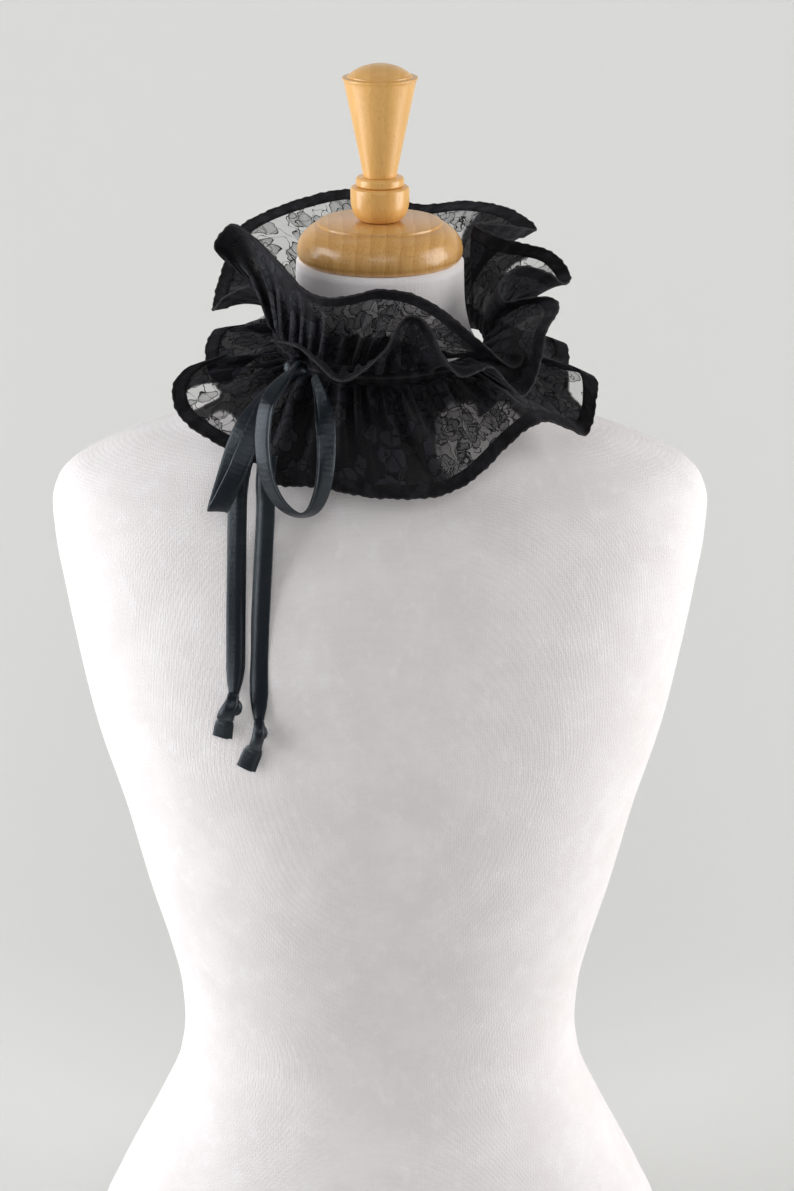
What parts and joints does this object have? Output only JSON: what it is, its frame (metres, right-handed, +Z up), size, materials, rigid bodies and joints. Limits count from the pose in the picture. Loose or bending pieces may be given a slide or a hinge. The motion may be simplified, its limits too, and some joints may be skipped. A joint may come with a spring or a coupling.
{
  "type": "ruff collar on a dress form",
  "caption": "Lace ruff collar gathered on a drawstring tied in a bow, worn round the neck of a limbless tabletop dress form with a turned wooden cap.",
  "frame": {"origin": "centre of the dress form's flat underside, on the surface it stands on", "axes": "+Z up along the neck, -Y out of the form's chest, +X to the viewer's right when facing the chest"},
  "size_m": [0.403, 0.245, 0.8366],
  "materials": {
    "jersey": "fine white cotton jersey stretched over padding",
    "wood": "turned beech with a clear satin varnish",
    "lace": "black floral lace on fine net",
    "hem": "black lace doubled and stitched as a hem and casing",
    "satin": "black satin ribbon, folded and edge stitched"
  },
  "bodies": {
    "root": {"torso": "jersey", "neck_cap": "wood", "finial_bulb": "wood", "finial_ring": "wood", "finial_handle": "wood", "casing": "hem", "frill_upper": "lace", "frill_lower": "lace", "hem_upper": "hem", "hem_lower": "hem", "bow_knot": "satin", "loop_left": "satin", "loop_right": "satin", "tail_left": "satin", "tail_right": "satin", "tail_knot_left": "satin", "tail_knot_right": "satin", "tail_end_left": "satin", "tail_end_right": "satin"}
  },
  "joints": []
}
